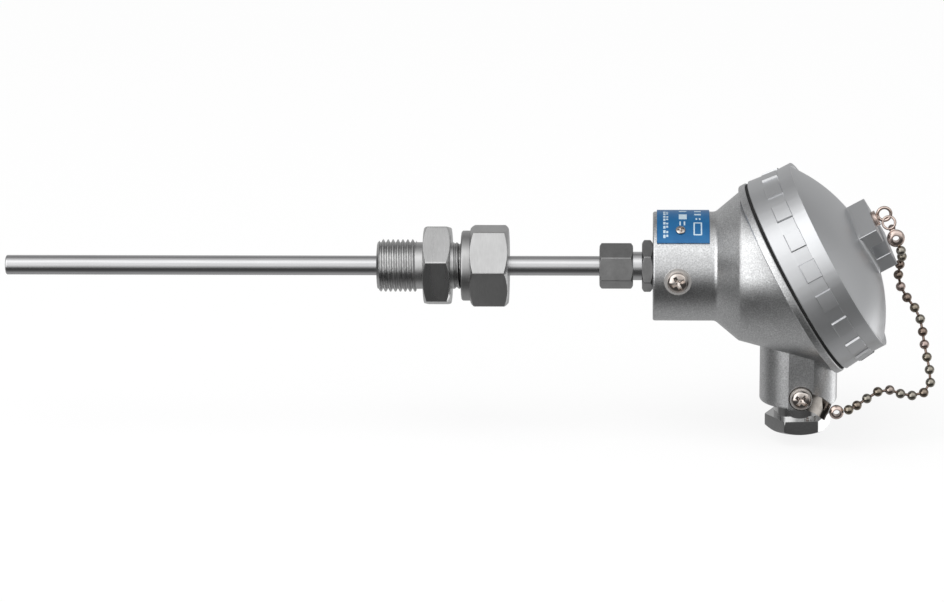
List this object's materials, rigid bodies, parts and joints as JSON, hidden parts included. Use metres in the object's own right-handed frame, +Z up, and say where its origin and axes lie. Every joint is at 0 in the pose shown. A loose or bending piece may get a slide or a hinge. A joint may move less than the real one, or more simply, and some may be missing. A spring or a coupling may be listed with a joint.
{
  "type": "temperature probe with connection head",
  "caption": "Sheathed temperature probe with a sliding compression fitting and a cast connection head, whose screwed cap hangs on a ball chain over a cable gland.",
  "frame": {"origin": "on the sheath's axis, in the middle of the process thread", "axes": "+X along the sheath towards the head, +Z up, the cable gland points to -Z and the front is -Y"},
  "size_m": [0.2845, 0.0644, 0.0825],
  "materials": {
    "sheath": "polished along its length",
    "fitting_steel": "turned stainless steel",
    "dark_steel": "dull turned steel",
    "ferrule": "turned",
    "cast_alloy": "shot-blasted casting",
    "cap_alloy": "fine blasted casting",
    "gasket": "matte",
    "seal": "matte",
    "screw_plate": "nickel plated",
    "label": "blue printed foil",
    "chain": "tarnished nickel over brass",
    "chain_shell": "worn nickel over brass",
    "lug": "plated sheet steel",
    "plated_nut": "nickel plated",
    "block": "unglazed ceramic, pale",
    "brass": "machined",
    "ceramic": "pressed mineral powder",
    "wire": "drawn"
  },
  "bodies": {
    "fitting": {"fitting_body": "fitting_steel"},
    "nut_ring": {"back_ferrule": "ferrule"},
    "nut": {"fitting_nut": "fitting_steel"},
    "grip": {"front_ferrule": "ferrule"},
    "probe": {"sheath": "sheath", "small_nut": "dark_steel", "small_ferrule": "ferrule", "head_connector": "fitting_steel", "head_body": "cast_alloy", "neck_washer": "screw_plate", "neck_screw": "screw_plate", "label_plate": "label", "label_rivets": "screw_plate", "chain_ring": "chain", "chain_top_shell": "chain_shell", "chain_beads": "chain", "chain_links": "chain", "chain_bottom_shell": "chain_shell", "chain_lug": "lug", "lug_washer": "screw_plate", "lug_screw": "screw_plate", "gland_seal": "seal", "terminal_block": "block", "positive_terminal": "brass", "negative_terminal": "brass", "terminal_screws": "screw_plate", "block_screws": "screw_plate", "mineral_insulation": "ceramic", "positive_wire": "wire", "negative_wire": "wire", "hot_junction": "wire"},
    "gasket": {"cap_gasket": "gasket"},
    "cap": {"head_cap": "cap_alloy", "cap_eye": "chain"},
    "gland_ring": {"gland_washer": "plated_nut"},
    "gland": {"gland_nut": "plated_nut"}
  },
  "joints": [
    {"name": "nut_travel", "type": "slide", "parent": "fitting", "child": "nut_ring", "axis": [1, 0, 0], "range_m": [0, 0.00751]},
    {"name": "nut_turn", "type": "hinge", "parent": "nut_ring", "child": "nut", "pos_m": [0.025, 0, 0], "axis": [1, 0, 0], "range_deg": [0, 1800]},
    {"name": "probe_turn", "type": "hinge", "parent": "fitting", "child": "grip", "pos_m": [0.025, 0, 0], "axis": [1, 0, 0], "continuous": true},
    {"name": "probe_slide", "type": "slide", "parent": "grip", "child": "probe", "axis": [1, 0, 0], "range_m": [-0.02, 0.11]},
    {"name": "cap_lift", "type": "slide", "parent": "probe", "child": "gasket", "axis": [0.8746, 0, 0.4848], "range_m": [0, 0.00601]},
    {"name": "cap_turn", "type": "hinge", "parent": "gasket", "child": "cap", "pos_m": [0.12125, 0, -0.00315], "axis": [0.8746, 0, 0.4848], "range_deg": [0, 1080], "deforming": ["chain_ring", "chain_top_shell", "chain_beads", "chain_links", "chain_bottom_shell"]},
    {"name": "gland_travel", "type": "slide", "parent": "probe", "child": "gland_ring", "axis": [0, 0, -1], "range_m": [0, 0.00376]},
    {"name": "gland_turn", "type": "hinge", "parent": "gland_ring", "child": "gland", "pos_m": [0.12275, 0, -0.045], "axis": [0, 0, -1], "range_deg": [0, 900]}
  ],
  "couplings": [
    {"joint": "nut_travel", "follows": "nut_turn", "m_per_rad": 0.00023873},
    {"joint": "cap_lift", "follows": "cap_turn", "m_per_rad": 0.00031831},
    {"joint": "gland_travel", "follows": "gland_turn", "m_per_rad": 0.00023873}
  ]
}
